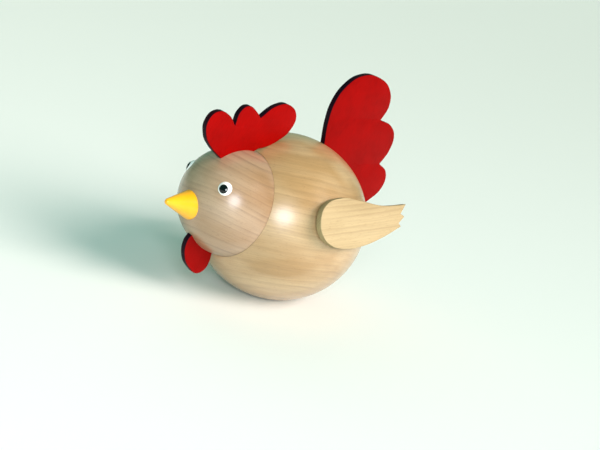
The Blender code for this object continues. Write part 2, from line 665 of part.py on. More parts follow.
def gear_outline(teeth, turn, addendum, dedendum, flank_steps):
    """Involute gear; turn is where the middle of a tooth points."""
    pitch = GEAR_MODULE * teeth / 2
    base = pitch * math.cos(PRESSURE_ANGLE)
    root = pitch - dedendum * GEAR_MODULE
    tip = pitch + addendum * GEAR_MODULE
    half_tooth = math.pi / (2 * teeth) - BACKLASH / (2 * pitch)
    flank = [root] + [max(base, root) + (tip - max(base, root)) * step / flank_steps
                      for step in range(0 if root < base else 1, flank_steps + 1)]
    outline = []
    for tooth in range(teeth):
        middle = turn + 2 * math.pi * tooth / teeth
        halves = [half_tooth + involute(PRESSURE_ANGLE)
                  - involute(math.acos(min(1, base / max(radius, base)))) for radius in flank]
        for radius, half in zip(flank, halves):
            outline.append((radius * math.cos(middle - half), radius * math.sin(middle - half)))
        for radius, half in reversed(list(zip(flank, halves))):
            outline.append((radius * math.cos(middle + half), radius * math.sin(middle + half)))
    return tuple(outline)


def wheel_outline(teeth, turn):
    return gear_outline(teeth, turn, 0.8, 1.2, 1)


def pinion_outline(turn):
    return gear_outline(PINION_TEETH, turn, 0.9, 1.15, 2)


def direction_between(first, second):
    return math.atan2(second.z - first.z, second.x - first.x)


def add_wheel(name, outlines, thickness, centre, y, material):
    return flat_piece(name, outlines, thickness, centre, material, (0, y, 0), UPRIGHT)


def add_arbor(name, radius, start, end, centre, material=steel, sides=ARBOR_SIDES):
    return bar(name, radius, (0, start, 0), (0, end, 0), centre, material, sides)


to_second = direction_between(winding_axis, second_axis)
to_crank = direction_between(second_axis, crank_axis)
half_pinion_tooth = math.pi / PINION_TEETH
click_pivot = Vector((4.6 * MM, 6.8 * MM))
click_pin_radius = 0.7 * MM

add_wheel("great_wheel", [
    wheel_outline(GREAT_TEETH, to_second), circle(WINDING_ARBOR_RADIUS + RUN),
    circle(click_pin_radius + RUN, click_pivot, 10)], GREAT_WHEEL_THICK, winding_centre, y_great, brass)

ratchet = []
for tooth in range(RATCHET_TEETH):
    pitch_turn = 2 * math.pi / RATCHET_TEETH
    for radius, turn in ((RATCHET_ROOT, tooth * pitch_turn), (RATCHET_RADIUS, (tooth + 1) * pitch_turn)):
        ratchet.append((radius * math.cos(turn), radius * math.sin(turn)))
add_wheel("ratchet_wheel", [tuple(ratchet), circle(WINDING_ARBOR_RADIUS + RUN)], CLICK_THICK,
          winding_centre, y_click, steel)

CLICK = ((3.75, 0.25), (4.75, 0.25), (5.6, 3.0), (6.0, 6.8), (5.6, 8.2), (4.9, 9.0), (3.9, 8.9), (3.5, 7.8),
         (3.3, 6.6), (4.3, 3.2), (4.35, 2.0), (4.05, 1.0))
click_axis = add_axis("click_axis", winding_centre, (click_pivot.x, 0, click_pivot.y))
click_outline = tuple((x * MM - click_pivot.x, y * MM - click_pivot.y) for x, y in CLICK)
add_wheel("click", [click_outline, circle(click_pin_radius + RUN, sides=10)], CLICK_THICK, click_axis,
          y_click, steel)
add_arbor("click_pin", click_pin_radius, y_great - GREAT_WHEEL_THICK / 2, y_click + CLICK_THICK / 2,
          click_axis, sides=10)
CLICK_SPRING = ((-2.6, 8.6), (-1.4, 8.9), (0.6, 8.9), (3.3, 8.0), (3.35, 8.3), (0.7, 9.25), (-1.5, 9.25),
                (-2.6, 9.5))
add_wheel("click_spring", [tuple((x * MM, y * MM) for x, y in CLICK_SPRING)], CLICK_THICK - RUN,
          winding_centre, y_click, steel)

add_arbor("second_arbor", TRAIN_ARBOR_RADIUS, -rivet_y, rivet_y, second_centre)
add_wheel("second_pinion", [
    pinion_outline(to_second + math.pi + half_pinion_tooth), circle(TRAIN_ARBOR_RADIUS + RUN)],
    GREAT_WHEEL_THICK + 2 * RUN, second_centre, y_great, steel)
add_wheel("second_wheel", [wheel_outline(SECOND_TEETH, to_crank), circle(TRAIN_ARBOR_RADIUS + RUN)],
          SECOND_WHEEL_THICK, second_centre, y_second, brass)
add_wheel("crank_pinion", [
    pinion_outline(to_crank + math.pi + half_pinion_tooth), circle(TRAIN_ARBOR_RADIUS + RUN)],
    SECOND_WHEEL_THICK + 2 * RUN, crank_centre, y_second, steel)

# ---------------------------------------------------------------- crank
disc_radius = crank_radius + CRANK_PIN_RADIUS + 0.6 * MM
disc_low = y_disc - CRANK_DISC_THICK / 2
disc_high = y_disc + CRANK_DISC_THICK / 2
pin_end = -(YOKE_THICK / 2 + GAP)
FACING_BACK = (math.radians(-90), 0, 0)  # local Z of a turned piece lies along +Y
crank_arbor = turned("crank_arbor", [
    (0, disc_high), (disc_radius, disc_high), (disc_radius, disc_low), (TRAIN_ARBOR_RADIUS, disc_low),
    (TRAIN_ARBOR_RADIUS, -rivet_y), (0, -rivet_y)], crank_centre, steel, sides=ARBOR_SIDES,
    rotation=FACING_BACK)
cut(crank_arbor, bar("crank_pin", CRANK_PIN_RADIUS, (0, y_disc, crank_radius), (0, pin_end, crank_radius),
                     crank_centre, sides=12), "UNION")
bush_inner_end = y_second - SECOND_WHEEL_THICK / 2 - LAYER_GAP
crank_bush = turned("crank_bush", [
    (CRANK_BUSH_RADIUS, bush_inner_end), (CRANK_BUSH_RADIUS, -rivet_y),
    (TRAIN_ARBOR_RADIUS + RUN, -rivet_y), (TRAIN_ARBOR_RADIUS + RUN, bush_inner_end)],
    crank_centre, brass, closed=True, sides=ARBOR_SIDES, rotation=FACING_BACK)


# ---------------------------------------------------------------- kicker
slot_half_length = crank_radius + CRANK_PIN_RADIUS + GAP
slot_half_height = CRANK_PIN_RADIUS + RUN
yoke_half_width = slot_half_length + YOKE_END_WALL
yoke_half_height = slot_half_height + YOKE_SIDE_WALL
yoke_tail_low = stem_top - YOKE_IN_STEM - yoke_rest_z
flat_piece("kick_yoke", [
    ((-yoke_half_width, yoke_half_height), (-yoke_half_width, -yoke_half_height),
     (-YOKE_TAIL_HALF, -yoke_half_height), (-YOKE_TAIL_HALF, yoke_tail_low),
     (YOKE_TAIL_HALF, yoke_tail_low), (YOKE_TAIL_HALF, -yoke_half_height),
     (yoke_half_width, -yoke_half_height),
     (yoke_half_width, yoke_half_height)),
    ((-slot_half_length, -slot_half_height), (slot_half_length, -slot_half_height),
     (slot_half_length, slot_half_height), (-slot_half_length, slot_half_height))],
    YOKE_THICK, kick_axis, steel, (0, 0, yoke_rest_z), UPRIGHT)

stem_low = foot_top + GAP
kick_stem = turned("kick_stem", [
    (0, stem_top), (STEM_RADIUS, stem_top), (STEM_RADIUS, collar_top), (COLLAR_RADIUS, collar_top),
    (COLLAR_RADIUS, collar_top - COLLAR_THICK), (STEM_RADIUS, collar_top - COLLAR_THICK),
    (STEM_RADIUS, stem_low), (0, stem_low)], kick_axis, steel, sides=ARBOR_SIDES)
cut(kick_stem, box("yoke_slot", (-STEM_RADIUS - GAP, -YOKE_THICK / 2 - GAP, stem_top - YOKE_IN_STEM - GAP),
                   (STEM_RADIUS + GAP, YOKE_THICK / 2 + GAP, stem_top + GAP), kick_axis))

foot_low = foot_under_z + PAD_THICK + GAP
kick_foot = bar("kick_foot", FOOT_RADIUS, (0, 0, foot_low), (0, 0, foot_top), kick_axis, steel,
                sides=TURNED_SIDES)
pad_edge = 0.3 * MM
turned("foot_pad", [
    (0, foot_under_z + PAD_THICK), (FOOT_RADIUS, foot_under_z + PAD_THICK),
    (FOOT_RADIUS, foot_under_z + pad_edge), (FOOT_RADIUS - pad_edge, foot_under_z), (0, foot_under_z)],
    kick_axis, rubber)
screw_head_top = foot_low + FOOT_SCREW_HEAD_HIGH
screw_end = stem_low + FOOT_SCREW_IN_STEM
turned("foot_screw", [
    (0, screw_end), (FOOT_SCREW_RADIUS, screw_end), (FOOT_SCREW_RADIUS, screw_head_top),
    (FOOT_SCREW_HEAD_RADIUS, foot_low), (0, foot_low)], kick_axis, steel, sides=12)
screw_hole = turned("foot_screw_hole", [
    (0, screw_end + GAP), (FOOT_SCREW_RADIUS + RUN, screw_end + GAP),
    (FOOT_SCREW_RADIUS + RUN, screw_head_top + RUN), (FOOT_SCREW_HEAD_RADIUS + 2 * RUN, foot_low),
    (FOOT_SCREW_HEAD_RADIUS + 2 * RUN, foot_low - GAP), (0, foot_low - GAP)], kick_axis, sides=12)
cut(kick_foot, screw_hole)
cut(kick_stem, screw_hole)

turned("stem_bush", [
    (BUSH_FLANGE_RADIUS, bush_top), (BUSH_FLANGE_RADIUS, bush_pocket_floor + GAP),
    (bush_radius, bush_pocket_floor + GAP), (bush_radius, recess_ceiling),
    (STEM_RADIUS + RUN, recess_ceiling), (STEM_RADIUS + RUN, bush_top)],
    ball_centre, brass, closed=True, sides=ARBOR_SIDES)


# ---------------------------------------------------------------- springs
def add_return_spring():
    """Coil round the stem, between the bush and the collar: it draws the foot in."""
    wire = SPRING_WIRE_RADIUS
    steps = 10
    low = bush_top + GAP + wire
    rise = spring_top - wire - low
    curve = bpy.data.curves.new("return_spring", "CURVE")
    curve.dimensions = "3D"
    curve.bevel_depth = wire
    curve.bevel_resolution = 2
    curve.use_fill_caps = True
    spline = curve.splines.new("POLY")
    spline.points.add(SPRING_TURNS * steps)
    radius = STEM_RADIUS + wire + SPRING_OFF_STEM
    for number, point in enumerate(spline.points):
        turn = 2 * math.pi * number / steps
        height = low + rise * number / (SPRING_TURNS * steps)
        point.co = (radius * math.cos(turn), radius * math.sin(turn), height, 1)
    return add_object("return_spring", curve, kick_axis, steel)


add_return_spring()


def add_mainspring():
    """Strip coiled round the winding arbor, its outer end hooked round the lower rear pillar."""
    pillar = neck_place(*pillars["pillar_rear_bottom"]) - winding_axis
    pillar_turn = math.atan2(pillar.z, pillar.x)
    pillar_reach = math.hypot(pillar.x, pillar.z)
    coils, steps = MAINSPRING_COILS, 18
    first, last = WINDING_ARBOR_RADIUS + MAINSPRING_OFF_ARBOR, great_outer - MAINSPRING_IN_WHEEL
    hook = PILLAR_RADIUS + GAP + MAINSPRING_STRIP
    run_out = math.radians(100)
    start = pillar_turn - run_out
    places = []
    for number in range(coils * steps + 1):
        turn = start + 2 * math.pi * (number / steps - coils)
        radius = first + (last - first) * number / (coils * steps)
        places.append((radius * math.cos(turn), radius * math.sin(turn)))
    outer = pillar_reach - hook
    for number in range(1, 9):
        share = number / 8
        turn = start + run_out * share
        radius = last + (outer - last) * (3 * share ** 2 - 2 * share ** 3)
        places.append((radius * math.cos(turn), radius * math.sin(turn)))
    for number in range(1, 6):
        turn = pillar_turn + math.pi + math.radians(36) * number
        places.append((pillar.x + hook * math.cos(turn), pillar.z + hook * math.sin(turn)))
    shape = bmesh.new()
    near = [shape.verts.new((x, MAINSPRING_INNER_Y, z)) for x, z in places]
    edges = [shape.edges.new(pair) for pair in zip(near, near[1:])]
    wide = bmesh.ops.extrude_edge_only(shape, edges=edges)
    moved = [item for item in wide["geom"] if isinstance(item, bmesh.types.BMVert)]
    bmesh.ops.translate(shape, verts=moved, vec=(0, MAINSPRING_WIDTH, 0))
    piece = add_object("mainspring", mesh_from("mainspring", shape), winding_centre, steel)
    wall = piece.modifiers.new("strip", "SOLIDIFY")
    wall.thickness = MAINSPRING_STRIP
    wall.offset = 0
    return piece


add_mainspring()

# ---------------------------------------------------------------- winding arbor and key
key_start = wing_outer_y + KEY_WING_CLEAR
arbor_end = KEY_SHANK_START + KEY_SOCKET_DEPTH
add_arbor("winding_arbor", WINDING_ARBOR_RADIUS, -rivet_y, arbor_end, winding_centre)
key_shank = add_arbor("key_shank", KEY_SHANK_RADIUS, KEY_SHANK_START, key_start + KEY_TAIL, winding_centre,
                      steel)
cut(key_shank, bar("key_socket", WINDING_ARBOR_RADIUS + RUN, (0, KEY_SHANK_START - GAP, 0),
                   (0, arbor_end + GAP, 0), winding_centre))
half_slot = KEY_PLATE_THICK / 2 + GAP
cut(key_shank, box("key_slot", (-KEY_SHANK_RADIUS - GAP, key_start - GAP, -half_slot),
                   (KEY_SHANK_RADIUS + GAP, key_start + KEY_TAIL + GAP, half_slot), winding_centre))
# Half of the key's grip: across and along the arbor in mm.
KEY_GRIP = [(2.2, 0, CORNER), (2.2, 3.6), (5.6, 3.4), (10.4, 5.6), (10.6, 11.4), (6.4, 14.6), (1.8, 12.6)]
grip = [(x * MM, y * MM, *mark) for x, y, *mark in KEY_GRIP]
grip += [(0, 11 * MM)]
grip += [(-x * MM, y * MM, *mark) for x, y, *mark in reversed(KEY_GRIP)]
flat_piece("key_grip", [grip], KEY_PLATE_THICK, winding_centre, steel, (0, key_start, 0))

ball_y_at_key = BALL_RADIUS * math.sqrt(
    1 - (winding_axis.x / BALL_RADIUS) ** 2 - (winding_axis.z / ball_half_height) ** 2)
key_bush_radius = KEY_SHANK_RADIUS + RUN + KEY_BUSH_WALL
key_bush_end = ball_y_at_key - KEY_BUSH_SUNK
key_bush_back = key_bush_end - KEY_BUSH_LENGTH
turned("key_bush", [
    (key_bush_radius, key_bush_end), (key_bush_radius, key_bush_back),
    (KEY_SHANK_RADIUS + RUN, key_bush_back), (KEY_SHANK_RADIUS + RUN, key_bush_end)],
    winding_centre, brass, closed=True, sides=ARBOR_SIDES, rotation=FACING_BACK)
cut(body_ball, bar("key_hole", key_bush_radius + GAP, (0, PLATE_SPACING / 2, 0), (0, BALL_RADIUS, 0),
                   winding_centre))
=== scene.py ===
"""Looks of the wind-up hopping hen: two turned balls of pale hardwood with red plywood comb,
wattle and tail, a yellow beak, white eyes and plain plywood wings, over its CAD frame.

Metres, +Z up. The hen faces -X and its left side is -Y.
"""

import json
import math

import bmesh
import bpy
from mathutils import Matrix, Vector


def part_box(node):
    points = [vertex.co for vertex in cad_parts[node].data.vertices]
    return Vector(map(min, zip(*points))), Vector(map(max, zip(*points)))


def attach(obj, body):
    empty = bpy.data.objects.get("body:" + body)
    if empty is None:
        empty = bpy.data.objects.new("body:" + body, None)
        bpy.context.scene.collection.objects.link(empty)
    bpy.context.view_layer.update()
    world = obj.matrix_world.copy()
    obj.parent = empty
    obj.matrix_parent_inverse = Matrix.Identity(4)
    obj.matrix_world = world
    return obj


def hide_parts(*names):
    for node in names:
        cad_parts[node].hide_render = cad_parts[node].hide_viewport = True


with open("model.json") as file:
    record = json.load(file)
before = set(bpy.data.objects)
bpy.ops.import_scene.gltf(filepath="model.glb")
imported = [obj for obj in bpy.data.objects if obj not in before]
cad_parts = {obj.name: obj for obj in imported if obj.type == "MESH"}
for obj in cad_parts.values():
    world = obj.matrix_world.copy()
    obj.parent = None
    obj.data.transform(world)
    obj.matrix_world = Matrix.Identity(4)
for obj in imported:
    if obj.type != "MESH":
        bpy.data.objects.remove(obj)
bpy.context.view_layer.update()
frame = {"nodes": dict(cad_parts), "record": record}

MM = 0.001

# ---------------------------------------------------------------- camera
# The hen is seen from in front of its left side, from a little above, with the camera rolled
# so that its beak points down to the left. The ball's centre is where the other places start.
ball_low, ball_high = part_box("body_ball")
ball_radius = (ball_high[1] - ball_low[1]) / 2
ball_squash = 1.4 * MM
ball_half_height = ball_radius - ball_squash
ball_centre = Vector((ball_high[0] - ball_radius, 0, ball_high[2] - ball_half_height))

view_turn, view_lift, view_roll = math.radians(-45.44), math.radians(16.38), math.radians(15.13)
view_distance = 0.5
toward_camera = Vector((math.sin(view_turn) * math.cos(view_lift), -math.cos(view_turn) * math.cos(view_lift),
                        math.sin(view_lift)))
level_right = Vector((math.cos(view_turn), math.sin(view_turn), 0))
level_up = toward_camera.cross(level_right)
camera_right = level_right * math.cos(view_roll) + level_up * math.sin(view_roll)
camera_up = level_up * math.cos(view_roll) - level_right * math.sin(view_roll)
ball_beside, ball_above = -9.1 * MM, 4.2 * MM  # the ball's centre from the camera's axis
camera_place = (ball_centre + toward_camera * view_distance - camera_right * ball_beside
                - camera_up * ball_above)

camera_data = bpy.data.cameras.new("camera")
camera_data.lens = 64.9
camera_data.sensor_width = 36
camera_data.clip_start = 0.01
camera = bpy.data.objects.new("camera", camera_data)
bpy.context.scene.collection.objects.link(camera)
camera.matrix_world = Matrix((camera_right, camera_up, toward_camera)).transposed().to_4x4()
camera.location = camera_place
bpy.context.scene.camera = camera

# ---------------------------------------------------------------- body ball
# A stock 80 mm ball turned from pale maple, sanded smooth and given one coat of clear satin
# lacquer. It is hollowed for the clockwork from the front, where the head's back closes it, and
# bored for the kicker below and the key on its right.


def linear(colour):
    """sRGB hex value as linear red, green, blue and full alpha."""
    parts = [int(colour[start:start + 2], 16) / 255 for start in (1, 3, 5)]
    return (*(part / 12.92 if part <= 0.04045 else ((part + 0.055) / 1.055) ** 2.4 for part in parts), 1)


def add(material, kind, settings, links=()):
    """Adds a node to a material, with its settings and the outputs that its inputs read.

    A colour ramp's stops are pairs of a position and a grey or a hex colour.
    """
    node = material.node_tree.nodes.new(kind)
    for name, value in settings.items():
        if name == "stops":
            elements = node.color_ramp.elements
            while len(elements) < len(value):
                elements.new(0.5)
            for element, (position, tone) in zip(elements, value):
                element.position = position
                element.color = linear(tone) if isinstance(tone, str) else (tone, tone, tone, 1)
        elif isinstance(name, str) and hasattr(node, name):
            setattr(node, name, value)
        else:
            node.inputs[name].default_value = value
    for name, output in dict(links).items():
        material.node_tree.links.new(output, node.inputs[name])
    return node


def new_material(name):
    """A material with an empty node tree."""
    material = bpy.data.materials.new(name)
    material.use_nodes = True
    material.node_tree.nodes.clear()
    return material


def show(material, shader):
    """Makes a shader the material's surface."""
    output = add(material, "ShaderNodeOutputMaterial", {})
    material.node_tree.links.new(shader.outputs[0], output.inputs["Surface"])
    return material


def wave_scale(spacing):
    """Blender's Wave repeats every 2 pi / (20 scale)."""
    return math.pi / (10 * spacing)


def maple(name, pale, mid, dark, centre, fibres, layers, ring_spacing, contrast, lacquer, gloss):
    """Maple: faint growth lines, finer streaks between them and short ray flecks.

    Growth layers are square to the direction in layers, and fibres run along the one in fibres.
    """
    material = new_material(name)
    layer_way = Vector(layers).normalized()
    across = layer_way.cross(Vector(fibres)).normalized()
    turn = Matrix((across.cross(layer_way), across, layer_way)).to_euler()
    place = add(material, "ShaderNodeTexCoord", {}).outputs["Object"]
    shift = add(material, "ShaderNodeVectorMath", {"operation": "SUBTRACT", 1: centre}, {0: place}).outputs[0]
    wood = add(material, "ShaderNodeMapping", {"Rotation": turn}, {"Vector": shift}).outputs[0]

    # Layers wander by up to 5 mm over 35 mm across the fibres and 100 mm along them.
    along = add(material, "ShaderNodeMapping", {"Scale": (0.35, 1, 1)}, {"Vector": wood}).outputs[0]
    bend = add(material, "ShaderNodeTexNoise", {"Scale": 1 / (35 * MM), "Detail": 1.0}, {"Vector": along})
    wander = add(material, "ShaderNodeMapRange", {"To Min": -5 * MM, "To Max": 5 * MM},
                 {"Value": bend.outputs["Fac"]}).outputs[0]
    lift = add(material, "ShaderNodeCombineXYZ", {}, {"Z": wander}).outputs[0]
    layered = add(material, "ShaderNodeVectorMath", {"operation": "ADD"}, {0: wood, 1: lift}).outputs[0]

    # Growth lines darken slowly and end sharply, and some years are fainter than others.
    rings = add(material, "ShaderNodeTexWave",
                {"bands_direction": "Z", "wave_profile": "SAW", "Scale": wave_scale(ring_spacing),
                 "Distortion": 0.9, "Detail": 2.0, "Detail Scale": 1 / (7 * MM) / wave_scale(ring_spacing)},
                {"Vector": layered}).outputs["Fac"]
    late_wood = add(material, "ShaderNodeValToRGB",
                    {"stops": [(0.0, 0.0), (0.5, 0.3), (0.85, 1.0), (1.0, 0.1)]}, {"Fac": rings}).outputs[0]
    year_place = add(material, "ShaderNodeMapping",
                     {"Scale": (1 / (60 * MM), 1 / (30 * MM), 1 / (1.7 * ring_spacing))}, {"Vector": layered})
    years = add(material, "ShaderNodeTexNoise", {"Scale": 1.0, "Detail": 1.0},
                {"Vector": year_place.outputs[0]})
    strong_years = add(material, "ShaderNodeValToRGB", {"stops": [(0.35, 0.1), (0.68, 1.0)]},
                       {"Fac": years.outputs["Fac"]}).outputs[0]
    # Streaks 0.6 mm wide run 25 mm along the fibres.
    streak_place = add(material, "ShaderNodeMapping",
                       {"Scale": (1 / (25 * MM), 1 / (7 * MM), 1 / (0.6 * MM))},
                       {"Vector": layered}).outputs[0]
    streaks = add(material, "ShaderNodeTexNoise", {"Scale": 1.0, "Detail": 3.0, "Roughness": 0.65},
                  {"Vector": streak_place}).outputs["Fac"]
    # Ray flecks are dashes about 2 mm long, drawn 0.3 mm wide so that they show.
    fleck_place = add(material, "ShaderNodeMapping",
                      {"Scale": (1 / (2.4 * MM), 1 / (0.3 * MM), 1 / (0.3 * MM))},
                      {"Vector": wood}).outputs[0]
    fleck_noise = add(material, "ShaderNodeTexNoise", {"Scale": 1.0, "Detail": 1.0}, {"Vector": fleck_place})
    flecks = add(material, "ShaderNodeValToRGB", {"stops": [(0.60, 0.0), (0.78, 0.35)]},
                 {"Fac": fleck_noise.outputs["Fac"]}).outputs[0]
    # The wood's tone drifts over 15 mm across the fibres and 45 mm along them.
    drift = add(material, "ShaderNodeTexNoise", {"Scale": 1 / (15 * MM), "Detail": 2.0}, {"Vector": along})

    tone = add(material, "ShaderNodeValToRGB", {"stops": [(0.36, pale), (0.64, mid)]},
               {"Fac": drift.outputs["Fac"]}).outputs[0]
    amount = add(material, "ShaderNodeMath", {"operation": "MULTIPLY"}, {0: late_wood, 1: strong_years})
    weight = add(material, "ShaderNodeMath", {"operation": "MULTIPLY", 1: contrast}, {0: amount.outputs[0]})
    ringed = add(material, "ShaderNodeMix", {"data_type": "RGBA", "blend_type": "MIX", 7: linear(dark)},
                 {0: weight.outputs[0], 6: tone}).outputs[2]
    silk = add(material, "ShaderNodeValToRGB", {"stops": [(0.3, 0.84), (0.7, 1.06)]},
               {"Fac": streaks}).outputs[0]
    streaked = add(material, "ShaderNodeMix", {"data_type": "RGBA", "blend_type": "MULTIPLY", 0: 0.7},
                   {6: ringed, 7: silk}).outputs[2]
    flecked = add(material, "ShaderNodeMix", {"data_type": "RGBA", "blend_type": "MIX", 7: linear(dark)},
                  {0: flecks, 6: streaked}).outputs[2]
    bump = add(material, "ShaderNodeBump", {"Strength": 0.1, "Distance": 0.05 * MM}, {"Height": streaks})
    shader = add(material, "ShaderNodeBsdfPrincipled",
                 {"Roughness": gloss, "IOR": 1.5, "Coat Weight": lacquer, "Coat Roughness": 0.26,
                  "Coat IOR": 1.5},
                 {"Base Color": flecked, "Normal": bump.outputs[0]})
    return show(material, shader)


def piece_from(name, shape, materials, body, nodes, sharp=35):
    """A finished mesh piece at the origin, which rides on a body and stands for CAD nodes."""
    bmesh.ops.recalc_face_normals(shape, faces=shape.faces)
    mesh = bpy.data.meshes.new(name)
    shape.to_mesh(mesh)
    shape.free()
    mesh.shade_smooth()
    mesh.set_sharp_from_angle(angle=math.radians(sharp))
    for material in materials:
        mesh.materials.append(material)
    piece = bpy.data.objects.new(name, mesh)
    bpy.context.scene.collection.objects.link(piece)
    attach(piece, body)
    if nodes:
        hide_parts(*nodes)
    return piece


def scratch_object(shape):
    """Puts a shape in the scene for a modifier to use."""
    mesh = bpy.data.meshes.new("scratch")
    shape.to_mesh(mesh)
    shape.free()
    item = bpy.data.objects.new("scratch", mesh)
    bpy.context.scene.collection.objects.link(item)
    return item


def bored(shape, cutters):
    """The shape with each cutter taken out of it."""
    item = scratch_object(shape)
    tools = [scratch_object(cutter) for cutter in cutters]
    for tool in tools:
        modifier = item.modifiers.new("bore", "BOOLEAN")
        modifier.operation = "DIFFERENCE"
        modifier.object = tool
    bpy.context.view_layer.update()
    mesh = bpy.data.meshes.new_from_object(item.evaluated_get(bpy.context.evaluated_depsgraph_get()))
    for used in [item] + tools:
        bpy.data.objects.remove(used, do_unlink=True)
    result = bmesh.new()
    result.from_mesh(mesh)
    bpy.data.meshes.remove(mesh)
    return result


def turned(profile, place=Matrix(), steps=96):
    """Spins a profile of (radius, height) about local Z and puts it in place."""
    weld = 0.001 * MM
    shape = bmesh.new()
    points = [shape.verts.new((radius, 0, height)) for radius, height in profile]
    edges = [shape.edges.new(pair) for pair in zip(points, points[1:])]
    bmesh.ops.spin(shape, geom=points + edges, cent=(0, 0, 0), axis=(0, 0, 1), angle=2 * math.pi,
                   steps=steps, use_merge=True)
    bmesh.ops.remove_doubles(shape, verts=shape.verts, dist=weld)
    bmesh.ops.recalc_face_normals(shape, faces=shape.faces)
    bmesh.ops.transform(shape, matrix=place, verts=shape.verts)
    return shape


def ball(radius, half_height, centre, segments=192):
    """Ball with its poles up and down, flattened to a half height."""
    shape = bmesh.new()
    bmesh.ops.create_uvsphere(shape, u_segments=segments, v_segments=segments // 2, radius=radius)
    bmesh.ops.scale(shape, vec=(1, 1, half_height / radius), verts=shape.verts)
    bmesh.ops.translate(shape, vec=centre, verts=shape.verts)
    return shape


def facing(centre, direction):
    """Placement with local Z along a direction."""
    return Matrix.Translation(centre) @ direction.to_track_quat("Z", "Y").to_matrix().to_4x4()


neck_tilt = math.radians(12.7)
neck_way = Vector((-math.cos(neck_tilt), 0, math.sin(neck_tilt)))
neck_place = facing(ball_centre, neck_way)
head_low, head_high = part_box("head_ball")
head_radius = (head_high[1] - head_low[1]) / 2
head_tuck = 0.2 * MM            # its centre is behind the circle where both balls are as wide
head_sink = 4.1 * MM            # its flat back is this deep in the body
head_offset = math.sqrt(ball_radius ** 2 - head_radius ** 2) - head_tuck
head_centre = ball_centre + neck_way * head_offset
head_back = (head_offset ** 2 + ball_radius ** 2 - head_radius ** 2) / (2 * head_offset) - head_sink
neck_clear = 0.12 * MM          # glue line round the head
foot_low, foot_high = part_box("kick_foot")
foot_radius = foot_high[0]
recess_clear = 0.7 * MM         # round the foot
recess_room = 0.9 * MM          # over it
recess_chamfer = 0.6 * MM
recess_radius = foot_radius + recess_clear
recess_top = foot_high[2] + recess_room
floor_to_flat = 0.5 * MM        # the ball's flat underside is this far off the floor
shank_low, shank_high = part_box("key_shank")
key_x, key_z = (shank_low[0] + shank_high[0]) / 2, (shank_low[2] + shank_high[2]) / 2
bush_low, bush_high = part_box("key_bush")
bush_fit = 0.1 * MM
key_hole_radius = (bush_high[0] - bush_low[0]) / 2 + bush_fit
key_hole_start = 20 * MM        # from the middle of the ball
glue_gap = 0.3 * MM
board_hole_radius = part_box("mechanism_board")[1][1] + glue_gap
ledge_width = 4 * MM            # the board rests on a ledge round the cavity
ledge_depth = 10.2 * MM         # from the head's back
ledge = head_back - ledge_depth
cavity_radius = board_hole_radius - ledge_width
wheel_low, wheel_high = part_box("great_wheel")
wheel_middle = (Vector(wheel_low) + Vector(wheel_high)) / 2 - ball_centre
wheel_radius = (wheel_high[0] - wheel_low[0]) / 2
behind_wheel = 0.9 * MM
cavity_back = wheel_middle.dot(neck_way) - wheel_radius - behind_wheel
stem_bush_radius, stem_flange_radius = 3.1 * MM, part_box("stem_bush")[1][0]
stem_flange_thick = 1 * MM
stem_bush_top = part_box("stem_bush")[1][2]
stem_bush_seat = stem_bush_top - stem_flange_thick - glue_gap
in_cavity = stem_bush_top + 3 * MM
clear_of_ball = 6 * MM          # cutters end this far outside

maple_body = maple("maple_clear_lacquer_body", "#C2A47B", "#AD895B", "#735536", ball_centre,
                   (0.719, -0.687, 0.102), (0.125, 0.273, 0.954), 3.1 * MM, 0.25, 0.9, 0.4)

body_shape = ball(ball_radius, ball_half_height, ball_centre)
beyond = ball_radius + clear_of_ball
neck_bore = turned([(0, beyond), (head_radius + neck_clear, beyond), (head_radius + neck_clear, head_back),
                    (board_hole_radius, head_back), (board_hole_radius, ledge), (cavity_radius, ledge),
                    (cavity_radius, cavity_back), (0, cavity_back)], neck_place)
foot_bore = turned([(0, in_cavity), (stem_flange_radius + glue_gap, in_cavity),
                    (stem_flange_radius + glue_gap, stem_bush_seat),
                    (stem_bush_radius + glue_gap, stem_bush_seat), (stem_bush_radius + glue_gap, recess_top),
                    (recess_radius, recess_top), (recess_radius, floor_to_flat + recess_chamfer),
                    (recess_radius + recess_chamfer, floor_to_flat), (2 * ball_radius, floor_to_flat),
                    (2 * ball_radius, -ball_radius), (0, -ball_radius)])
key_place = facing(Vector((key_x, 0, key_z)), Vector((0, 1, 0)))
key_bore = turned([(0, ball_radius), (key_hole_radius, ball_radius), (key_hole_radius, key_hole_start),
                   (0, key_hole_start)], key_place)
body_shape = bored(body_shape, [neck_bore, foot_bore, key_bore])
piece_from("turned_body", body_shape, [maple_body], "hen", ["body_ball"])

# ---------------------------------------------------------------- head
# A smaller ball of slightly pinker maple. Its back is cut flat and glued in the body's bore, so
# only a hair line shows between the two balls.
maple_head = maple("maple_clear_lacquer_head", "#B2967A", "#9E7B58", "#634937", head_centre,
                   (0.662, -0.734, -0.148), (0.307, 0.086, 0.948), 2.3 * MM, 0.38, 0.9, 0.4)
head_shape = ball(head_radius, head_radius, head_centre)
cut = bmesh.ops.bisect_plane(head_shape, geom=head_shape.verts[:] + head_shape.edges[:] + head_shape.faces[:],
                             plane_co=ball_centre + neck_way * head_back, plane_no=neck_way, clear_inner=True)
cut_edges = [item for item in cut["geom_cut"] if isinstance(item, bmesh.types.BMEdge)]
bmesh.ops.holes_fill(head_shape, edges=cut_edges)
piece_from("turned_head", head_shape, [maple_head], "hen", ["head_ball"])

# ---------------------------------------------------------------- beak
# A cone turned from hardwood with a blunt tip and a rounded rim, dipped in glossy yellow enamel
# and glued on a peg.


